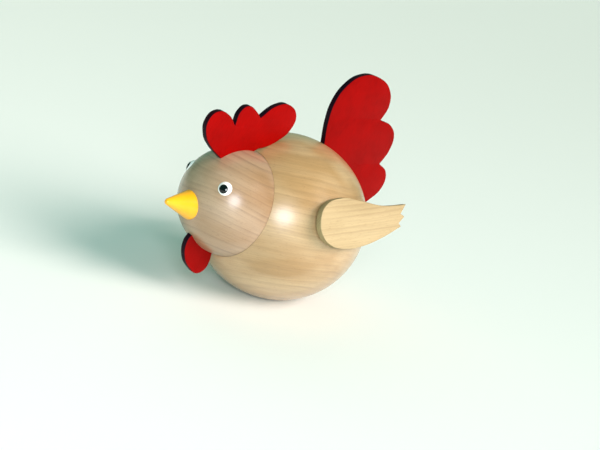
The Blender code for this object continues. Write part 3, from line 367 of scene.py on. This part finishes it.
def enamel(name, colour, deeper, roughness, coat, mottle):
    """Brushed enamel over wood: even, with faint thick and thin places every few millimetres."""
    material = new_material(name)
    place = add(material, "ShaderNodeTexCoord", {}).outputs["Object"]
    thick = add(material, "ShaderNodeTexNoise", {"Scale": 1 / (6 * MM), "Detail": 3.0}, {"Vector": place})
    tone = add(material, "ShaderNodeValToRGB", {"stops": [(0.5 - mottle, deeper), (0.5 + mottle, colour)]},
               {"Fac": thick.outputs["Fac"]}).outputs[0]
    orange_peel = add(material, "ShaderNodeTexNoise", {"Scale": 1 / (0.9 * MM), "Detail": 1.0},
                      {"Vector": place})
    bump = add(material, "ShaderNodeBump", {"Strength": 0.08, "Distance": 0.05 * MM},
               {"Height": orange_peel.outputs["Fac"]})
    shader = add(material, "ShaderNodeBsdfPrincipled",
                 {"Roughness": roughness, "IOR": 1.5, "Coat Weight": coat, "Coat Roughness": 0.12},
                 {"Base Color": tone, "Normal": bump.outputs[0]})
    return show(material, shader)


yellow_enamel = enamel("yellow_enamel", "#FFB81C", "#F8AC0C", 0.34, 0.4, 0.25)
beak_low, beak_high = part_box("beak")
beak_radius = (beak_high[1] - beak_low[1]) / 2
beak_reach = 36.6 * MM
beak_lift, beak_drop = math.radians(5.5), 3.5 * MM
beak_sink = 1.6 * MM            # base inside the head's surface, where only its rim shows
beak_seat = math.sqrt(head_radius ** 2 - beak_radius ** 2) - beak_sink
beak_cuff = 0.5 * MM            # straight part under the rim
tip_radius = 1.5 * MM
rim_radius = 0.9 * MM
slope = math.atan2(beak_radius - tip_radius, beak_reach - beak_seat - rim_radius - tip_radius)
profile = []
for step in range(9):
    turn = (math.pi / 2 - slope) * step / 8
    profile.append((tip_radius * math.sin(turn), beak_reach - tip_radius * (1 - math.cos(turn))))
for step in range(7):
    turn = math.pi / 2 - slope + (math.pi / 2 + slope) * step / 6
    profile.append((beak_radius - rim_radius + rim_radius * math.sin(turn),
                    beak_seat + rim_radius + beak_cuff + rim_radius * math.cos(turn)))
profile += [(beak_radius - rim_radius, beak_seat), (0, beak_seat)]
beak_place = facing(head_centre - Vector((0, 0, beak_drop)),
                    Vector((-math.cos(beak_lift), 0, math.sin(beak_lift))))
piece_from("turned_beak", turned(profile, beak_place, 72), [yellow_enamel], "hen", ["beak"])

# ---------------------------------------------------------------- eyes
# Low domed buttons of white enamelled wood, each on a peg, with a round pupil of black enamel
# that sits towards the beak.
white_enamel = enamel("white_enamel", "#FBFBF8", "#F2F2EE", 0.2, 0.8, 0.3)
black_enamel = enamel("black_enamel", "#04050C", "#020307", 0.06, 0.0, 0.3)
eye_radius = 3.1 * MM
eye_rise = 1.5 * MM
eye_seat_depth = 0.1 * MM       # the dome's edge is this far in the head
eye_skirt = 0.8 * MM            # straight side under it, out of sight
pupil_radius = 1.95 * MM
pupil_proud = 0.04 * MM
glance, glance_way = 0.2, Vector((-1, 0, -0.45))   # pupils look ahead and a little down
dome_radius = (eye_radius ** 2 + eye_rise ** 2) / (2 * eye_rise)
for hand, eye_turn, eye_lift in (("left", math.radians(-36.9), math.radians(26.6)),
                                 ("right", math.radians(43), math.radians(27.5))):
    ahead = Vector((-math.cos(eye_lift) * math.cos(eye_turn), math.cos(eye_lift) * math.sin(eye_turn),
                    math.sin(eye_lift)))
    seat = math.sqrt(head_radius ** 2 - eye_radius ** 2) - eye_seat_depth
    dome = []
    widest = math.asin(eye_radius / dome_radius)
    for step in range(13):
        turn = widest * step / 12
        dome.append((dome_radius * math.sin(turn), seat + eye_rise - dome_radius * (1 - math.cos(turn))))
    dome += [(eye_radius, seat - eye_skirt), (0, seat - eye_skirt)]
    piece_from(f"eye_button_{hand}", turned(dome, facing(head_centre, ahead), 48), [white_enamel], "hen",
               [f"eye_{hand}"])
    dome_centre = head_centre + ahead * (seat + eye_rise - dome_radius)
    pupil_way = (ahead + (glance_way - ahead * glance_way.dot(ahead)) * glance).normalized()
    pupil_ball = dome_radius + pupil_proud
    pupil = bmesh.new()
    bmesh.ops.create_uvsphere(pupil, u_segments=64, v_segments=48, radius=pupil_ball)
    bmesh.ops.transform(pupil, matrix=facing(dome_centre, pupil_way), verts=pupil.verts)
    level = dome_centre + pupil_way * math.sqrt(pupil_ball ** 2 - pupil_radius ** 2)
    cut = bmesh.ops.bisect_plane(pupil, geom=pupil.verts[:] + pupil.edges[:] + pupil.faces[:], plane_co=level,
                                 plane_no=pupil_way, clear_inner=True)
    cut_edges = [item for item in cut["geom_cut"] if isinstance(item, bmesh.types.BMEdge)]
    bmesh.ops.holes_fill(pupil, edges=cut_edges)
    piece_from(f"pupil_{hand}", pupil, [black_enamel], "hen", [])

# ---------------------------------------------------------------- comb, wattle and tail
# Fretsawn from 3 mm plywood, edges sanded round, sprayed red and glued into slots. The end
# grain of the edges soaks the paint up and dries darker; their near-black, blue-tinted colour is painted
# shade.
CORNER = "corner"
ply = 3 * MM
edge_round = 0.35 * MM


def flat_outline(points, thickness, place, rounding=edge_round):
    """Sheet cut to an outline of smooth points and points marked CORNER, with rounded edges."""
    weld = 0.005 * MM
    curve = bpy.data.curves.new("outline", "CURVE")
    curve.dimensions = "2D"
    curve.fill_mode = "BOTH"
    curve.extrude = thickness / 2 - rounding
    curve.bevel_depth = rounding
    curve.bevel_resolution = 3
    curve.offset = -rounding
    curve.resolution_u = 16
    spline = curve.splines.new("BEZIER")
    spline.use_cyclic_u = True
    spline.bezier_points.add(len(points) - 1)
    for point, position in zip(spline.bezier_points, points):
        point.co = (position[0], position[1], 0)
        kind = "VECTOR" if CORNER in position else "AUTO"
        point.handle_left_type = kind
        point.handle_right_type = kind
    guide = bpy.data.objects.new("outline", curve)
    bpy.context.scene.collection.objects.link(guide)
    bpy.context.view_layer.update()
    mesh = bpy.data.meshes.new_from_object(guide.evaluated_get(bpy.context.evaluated_depsgraph_get()))
    bpy.data.objects.remove(guide, do_unlink=True)
    shape = bmesh.new()
    shape.from_mesh(mesh)
    bpy.data.meshes.remove(mesh)
    bmesh.ops.remove_doubles(shape, verts=shape.verts, dist=weld)
    for face in shape.faces:
        # Side faces take the second material, which for the comb, wattle, tail and wings is an edge colour
        # darkened with painted shade.
        face.material_index = 0 if abs(face.normal.z) > 0.8 else 1
    bmesh.ops.transform(shape, matrix=place, verts=shape.verts)
    return shape


def red_paint(name, colour, deeper, grain_way):
    """Red spray paint on plywood: the veneer's grain shows through as faint short lines."""
    material = new_material(name)
    place = add(material, "ShaderNodeTexCoord", {}).outputs["Object"]
    turned_place = add(material, "ShaderNodeMapping", {"Rotation": grain_way}, {"Vector": place}).outputs[0]
    # Veneer pores are 0.3 mm wide and 4 mm long.
    fine = add(material, "ShaderNodeMapping", {"Scale": (1 / (4 * MM), 1 / (0.3 * MM), 1 / (0.3 * MM))},
               {"Vector": turned_place}).outputs[0]
    grain = add(material, "ShaderNodeTexNoise", {"Scale": 1.0, "Detail": 2.0},
                {"Vector": fine}).outputs["Fac"]
    cloud = add(material, "ShaderNodeTexNoise", {"Scale": 1 / (11 * MM), "Detail": 2.0}, {"Vector": place})
    tone = add(material, "ShaderNodeValToRGB", {"stops": [(0.35, deeper), (0.65, colour)]},
               {"Fac": cloud.outputs["Fac"]}).outputs[0]
    lines = add(material, "ShaderNodeValToRGB", {"stops": [(0.38, 0.82), (0.58, 1.0)]},
                {"Fac": grain}).outputs[0]
    grained = add(material, "ShaderNodeMix", {"data_type": "RGBA", "blend_type": "MULTIPLY", 0: 0.8},
                  {6: tone, 7: lines}).outputs[2]
    bump = add(material, "ShaderNodeBump", {"Strength": 0.25, "Distance": 0.06 * MM}, {"Height": grain})
    shader = add(material, "ShaderNodeBsdfPrincipled",
                 {"Roughness": 0.45, "IOR": 1.4, "Specular IOR Level": 0.12},
                 {"Base Color": grained, "Normal": bump.outputs[0]})
    return show(material, shader)


comb_red = red_paint("red_spray_paint_comb", "#980000", "#8E0000", (0, math.radians(70), 0))
tail_red = red_paint("red_spray_paint_tail", "#920000", "#880000", (0, math.radians(75), 0))
# Cut edge colour: end grain darkened by soaked-up paint, made nearly black with a blue tint as painted shade.
edge_red_painted_shade = red_paint("red_spray_paint_cut_edge_painted_shade", "#26020F", "#140214", (0, math.radians(20), 0))

COMB = [
    (124.4, 0.2, CORNER), (129.2, 8.0), (129.1, 14.0), (124.5, 19.7), (117.1, 21.3), (110.1, 17.5),
    (106.3, 12.2, CORNER), (102.4, 17.8), (97.0, 20.0), (89.8, 17.3), (86.0, 15.0, CORNER),
    (77.3, 21.8), (69.2, 24.9), (60.8, 23.0), (57.9, 16.1), (61.5, 9.0), (67.5, 4.5), (77.0, 1.5, CORNER),
    (80.5, 0.2, CORNER), (83.0, -3.0, CORNER), (100.0, -3.0, CORNER), (121.0, -3.0, CORNER),
]
WATTLE = [
    (217.5, 0.2, CORNER), (220.7, 3.4), (231.2, 8.0), (242.6, 10.4), (250.5, 11.0), (256.2, 8.4),
    (258.0, 4.2), (256.5, 0.2, CORNER), (254.0, -3.0, CORNER), (237.0, -3.0, CORNER), (220.0, -3.0, CORNER),
]
TAIL = [
    (68.8, 0.2, CORNER), (74.5, 9.5), (76.1, 18.9), (73.9, 28.2), (68.9, 36.0), (61.2, 40.8),
    (53.2, 41.1), (48.4, 36.5), (46.4, 29.2, CORNER), (40.2, 33.5), (35.1, 33.6), (30.2, 28.9),
    (26.6, 22.0, CORNER), (20.8, 25.9), (14.9, 24.3), (9.0, 15.5), (5.1, 6.0), (3.2, 0.2, CORNER),
    (4.5, -4.0, CORNER), (25.0, -4.0, CORNER), (47.0, -4.0, CORNER), (67.5, -4.0, CORNER),
]


def over_head(angle, height):
    """Point over the head, from its angle above straight back and its height in mm."""
    turn = math.radians(angle)
    return ((head_radius + height * MM) * math.cos(turn), (head_radius + height * MM) * math.sin(turn))


def over_ball(angle, height):
    """Point over the body ball, which is a little lower than it is wide."""
    turn = math.radians(angle)
    surface = 1 / math.hypot(math.cos(turn) / ball_radius, math.sin(turn) / ball_half_height)
    return ((surface + height * MM) * math.cos(turn), (surface + height * MM) * math.sin(turn))


def in_middle_plane(centre):
    """Local X, Y of a flat piece lie along X and Z, and its face looks to the hen's left."""
    return Matrix.Translation(centre) @ Matrix.Rotation(math.radians(90), 4, "X")


def red_piece(name, outline, over, centre, face_paint, node):
    """Flat red piece in the hen's middle plane, from points over the head or the ball."""
    points = [(*over(point[0], point[1]), *point[2:]) for point in outline]
    shape = flat_outline(points, ply, in_middle_plane(centre))
    return piece_from(name, shape, [face_paint, edge_red_painted_shade], "hen", [node], sharp=60)


red_piece("red_comb", COMB, over_head, head_centre, comb_red, "comb")
red_piece("red_wattle", WATTLE, over_head, head_centre, comb_red, "wattle")
red_piece("red_tail", TAIL, over_ball, ball_centre, tail_red, "tail")

# ---------------------------------------------------------------- wings
# Fretsawn from the same plywood but left bare, with three feather tips at the back. Each one
# touches the ball at its root, where a blind dowel holds it.
WING = [
    (-15.5, -0.3), (-12.7, 6.5), (-3.1, 9.9), (9.4, 8.7), (22.0, 6.8), (32.5, 6.9), (38.6, 7.4, CORNER),
    (35.3, 3.1, CORNER), (37.8, 1.7, CORNER), (34.1, -1.2, CORNER), (35.5, -2.8, CORNER), (23.5, -7.6),
    (10.0, -11.3), (0.0, -12.2), (-9.2, -10.4), (-14.0, -6.2),
]
wing_lean = math.radians(20)
wing_reach = math.hypot(ball_radius * math.cos(wing_lean), ball_half_height * math.sin(wing_lean))
bare_ply = maple("birch_ply_bare_face", "#BFA881", "#B59D75", "#866B46", ball_centre,
                 (0.99, 0, 0.14), (-0.12, 0.3, 0.94), 2.6 * MM, 0.4, 0.0, 0.62)
# The wings' cut edge: a plywood end-grain colour, darkened further with painted shade.
bare_edge_painted_shade = maple("birch_ply_cut_edge_painted_shade", "#A89468", "#9A855C", "#6E5638", ball_centre,
                  (1, 0, 0), (0, 0.94, 0.34), 1.0 * MM, 0.6, 0.0, 0.75)
glue_line = 0.1 * MM
for side, hand in ((-1, "left"), (1, "right")):
    face = Vector((0, side * math.cos(wing_lean), math.sin(wing_lean)))
    root = ball_centre + Vector((0, side * ball_radius ** 2 * math.cos(wing_lean) / wing_reach,
                                 ball_half_height ** 2 * math.sin(wing_lean) / wing_reach))
    middle = root + face * (glue_line + ply / 2)
    place = Matrix.Translation(middle) @ Matrix.Rotation(math.radians(90) + side * wing_lean, 4, "X")
    outline = [(point[0] * MM, point[1] * MM, *point[2:]) for point in WING]
    piece_from(f"bare_wing_{hand}", flat_outline(outline, ply, place), [bare_ply, bare_edge_painted_shade], "hen",
               [f"wing_{hand}"], sharp=60)

# ---------------------------------------------------------------- clockwork
# Steel plates, arbors and pinions with brass wheels and pillars, riveted together. It is shut
# in the ball with its birch board, plug and dowels, so the CAD solids only get their materials.


def metal(name, colour, duller, roughness, lines):
    """Bare metal with fine marks from rolling or turning, drawn 0.2 mm apart so that they show."""
    material = new_material(name)
    place = add(material, "ShaderNodeTexCoord", {}).outputs["Object"]
    stretch = add(material, "ShaderNodeMapping", {"Scale": lines}, {"Vector": place}).outputs[0]
    marks = add(material, "ShaderNodeTexNoise", {"Scale": 1 / (0.2 * MM), "Detail": 2.0}, {"Vector": stretch})
    blotch = add(material, "ShaderNodeTexNoise", {"Scale": 1 / (5 * MM), "Detail": 3.0}, {"Vector": place})
    tone = add(material, "ShaderNodeValToRGB", {"stops": [(0.35, duller), (0.65, colour)]},
               {"Fac": blotch.outputs["Fac"]}).outputs[0]
    rough = add(material, "ShaderNodeMapRange", {"To Min": roughness - 0.06, "To Max": roughness + 0.1},
                {"Value": marks.outputs["Fac"]}).outputs[0]
    bump = add(material, "ShaderNodeBump", {"Strength": 0.1, "Distance": 0.02 * MM},
               {"Height": marks.outputs["Fac"]})
    shader = add(material, "ShaderNodeBsdfPrincipled", {"Metallic": 1.0},
                 {"Base Color": tone, "Roughness": rough, "Normal": bump.outputs[0]})
    return show(material, shader)


steel = metal("bright_steel", "#BFC1C3", "#A6A9AC", 0.3, (1, 0.1, 1))
brass = metal("rolled_brass", "#D9BC72", "#C3A257", 0.32, (0.1, 1, 1))
birch = maple("birch_dowel", "#D8BF8C", "#CDB07C", "#A08058", ball_centre,
              (0, 1, 0), (0, 0, 1), 2.0 * MM, 0.4, 0.0, 0.7)
slot_materials = {"steel": steel, "brass": brass, "plain_ply": birch}
for entry in frame["record"]["subparts"]:
    if entry["material_slot"] in slot_materials:
        node = frame["nodes"][entry["node"]]
        node.data.materials.clear()
        node.data.materials.append(slot_materials[entry["material_slot"]])

# ---------------------------------------------------------------- key
# A butterfly key of nickel-plated steel: a thick stamped grip brazed into the sawn end of its
# shank, which comes out of the ball through a brass bush on the hen's right.
nickel = metal("nickel_plate", "#D2CFC8", "#BDB9B0", 0.2, (1, 0.15, 1))
grip_low, grip_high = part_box("key_grip")
grip_thick = grip_high[2] - grip_low[2]
KEY_GRIP = [(2.2, 0, CORNER), (2.2, 3.6), (5.6, 3.4), (10.4, 5.6), (10.6, 11.4), (6.4, 14.6), (1.8, 12.6)]
grip_round = 0.6 * MM
grip_dip = 11 * MM              # hollow between the two lobes
grip = [(x * MM, y * MM, *mark) for x, y, *mark in KEY_GRIP]
grip += [(0, grip_dip)]
grip += [(-x * MM, y * MM, *mark) for x, y, *mark in reversed(KEY_GRIP)]
grip_place = Matrix.Translation((key_x, grip_low[1], key_z))
piece_from("nickel_grip", flat_outline(grip, grip_thick, grip_place, grip_round), [nickel, nickel],
           "winding_key", ["key_grip"], sharp=60)
shank_radius = (shank_high[0] - shank_low[0]) / 2
shank_start, shank_end = shank_low[1], shank_high[1]
chamfer = 0.5 * MM
shank = turned([(0, shank_end), (shank_radius - chamfer, shank_end), (shank_radius, shank_end - chamfer),
                (shank_radius, shank_start), (0, shank_start)], key_place, 64)
slot_box = bmesh.new()
bmesh.ops.create_cube(slot_box, size=1)
slot_depth = 2 * (shank_end - grip_low[1])
slot_width = grip_thick + 0.1 * MM
bmesh.ops.scale(slot_box, vec=(3 * shank_radius, slot_depth, slot_width), verts=slot_box.verts)
bmesh.ops.translate(slot_box, vec=(key_x, shank_end, key_z), verts=slot_box.verts)
piece_from("nickel_shank", bored(shank, [slot_box]), [nickel], "winding_key", ["key_shank"])

# ---------------------------------------------------------------- kicker foot
# A turned steel disc under the ball with a black rubber pad glued to it. It stands on the pad,
# and the crank throws it down 4 mm.
pad_low, pad_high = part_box("foot_pad")


def rubber(name):
    """Moulded rubber: matt black with a fine even grain of about 0.3 mm."""
    material = new_material(name)
    place = add(material, "ShaderNodeTexCoord", {}).outputs["Object"]
    grain = add(material, "ShaderNodeTexNoise", {"Scale": 1 / (0.3 * MM), "Detail": 2.0}, {"Vector": place})
    tone = add(material, "ShaderNodeValToRGB", {"stops": [(0.3, "#1A1A1B"), (0.7, "#262627")]},
               {"Fac": grain.outputs["Fac"]}).outputs[0]
    bump = add(material, "ShaderNodeBump", {"Strength": 0.3, "Distance": 0.05 * MM},
               {"Height": grain.outputs["Fac"]})
    shader = add(material, "ShaderNodeBsdfPrincipled", {"Roughness": 0.8, "IOR": 1.52},
                 {"Base Color": tone, "Normal": bump.outputs[0]})
    return show(material, shader)


black_rubber = rubber("black_rubber")
pad_edge = 0.35 * MM            # the rims of disc and pad are rounded off by this
screw_hole_radius, screw_hole_depth = 2.5 * MM, 1.4 * MM
pad = turned([(0, pad_high[2]), (foot_radius - pad_edge, pad_high[2]), (foot_radius, pad_high[2] - pad_edge),
              (foot_radius, pad_low[2] + pad_edge), (foot_radius - pad_edge, pad_low[2]), (0, pad_low[2])])
piece_from("rubber_pad", pad, [black_rubber], "kicker", ["foot_pad"])
disc = turned([(0, foot_high[2]), (foot_radius - pad_edge, foot_high[2]),
               (foot_radius, foot_high[2] - pad_edge),
               (foot_radius, foot_low[2] + pad_edge), (foot_radius - pad_edge, foot_low[2]),
               (screw_hole_radius, foot_low[2]), (screw_hole_radius, foot_low[2] + screw_hole_depth),
               (0, foot_low[2] + screw_hole_depth)])
piece_from("steel_foot", disc, [steel], "kicker", ["kick_foot"])

# ---------------------------------------------------------------- floor and lights
# A plain pale floor, a round soft lamp by the camera for the shine on the balls, a broad window
# on the hen's left, a pale wall on its right and a dim green-blue room that cools the shadows.
scene = bpy.context.scene
scene.view_settings.view_transform = "Standard"
scene.view_settings.look = "None"

floor_material = new_material("pale_floor")
show(floor_material, add(floor_material, "ShaderNodeBsdfPrincipled",
                         {"Base Color": linear("#ECF0ED"), "Roughness": 0.9}))
floor_shape = bmesh.new()
bmesh.ops.create_grid(floor_shape, x_segments=2, y_segments=2, size=30)
floor_mesh = bpy.data.meshes.new("floor")
floor_shape.to_mesh(floor_mesh)
floor_shape.free()
floor_mesh.materials.append(floor_material)
floor = bpy.data.objects.new("floor", floor_mesh)
scene.collection.objects.link(floor)

# The camera sees a room as pale as the floor, while the hen is lit by a dimmer, greener one.
world = bpy.data.worlds.new("room")
world.use_nodes = True
world.node_tree.nodes.clear()
seen = add(world, "ShaderNodeBackground", {"Color": linear("#E1F0E6"), "Strength": 1.0})
dim = add(world, "ShaderNodeBackground", {"Color": linear("#84FFE3"), "Strength": 0.27})
ray = add(world, "ShaderNodeLightPath", {})
room = add(world, "ShaderNodeMixShader", {},
           {0: ray.outputs["Is Camera Ray"], 1: dim.outputs[0], 2: seen.outputs[0]})
add(world, "ShaderNodeOutputWorld", {}, {"Surface": room.outputs[0]})
scene.world = world

lamp_away = 1.2
lamp_right, lamp_up = 45 * MM, 12 * MM     # from the camera, which puts the shine where it is
beside_camera = (camera_place + camera_right * lamp_right + camera_up * lamp_up - ball_centre).normalized()
lamp_data = bpy.data.lights.new("lamp_by_camera", "AREA")
lamp_data.shape = "DISK"
lamp_data.size = 0.5
lamp_data.energy = 10
lamp_data.color = linear("#F4F8FF")[:3]
lamp = bpy.data.objects.new("lamp_by_camera", lamp_data)
scene.collection.objects.link(lamp)
lamp.matrix_world = facing(ball_centre + beside_camera * lamp_away, beside_camera)

# Both are too broad to give a shine of their own.
for name, strength, spread, colour, from_way in (
        ("window_on_the_left_side", 4.1, 40, "#FFECE8", (0.34, -0.76, 0.555)),
        ("pale_wall_on_the_right_side", 0.6, 60, "#FFF6EC", (0.3, 0.78, 0.55))):
    broad_data = bpy.data.lights.new(name, "SUN")
    broad_data.energy = strength
    broad_data.angle = math.radians(spread)
    broad_data.color = linear(colour)[:3]
    broad = bpy.data.objects.new(name, broad_data)
    scene.collection.objects.link(broad)
    broad.matrix_world = facing(Vector(from_way), Vector(from_way))
    broad.visible_glossy = False
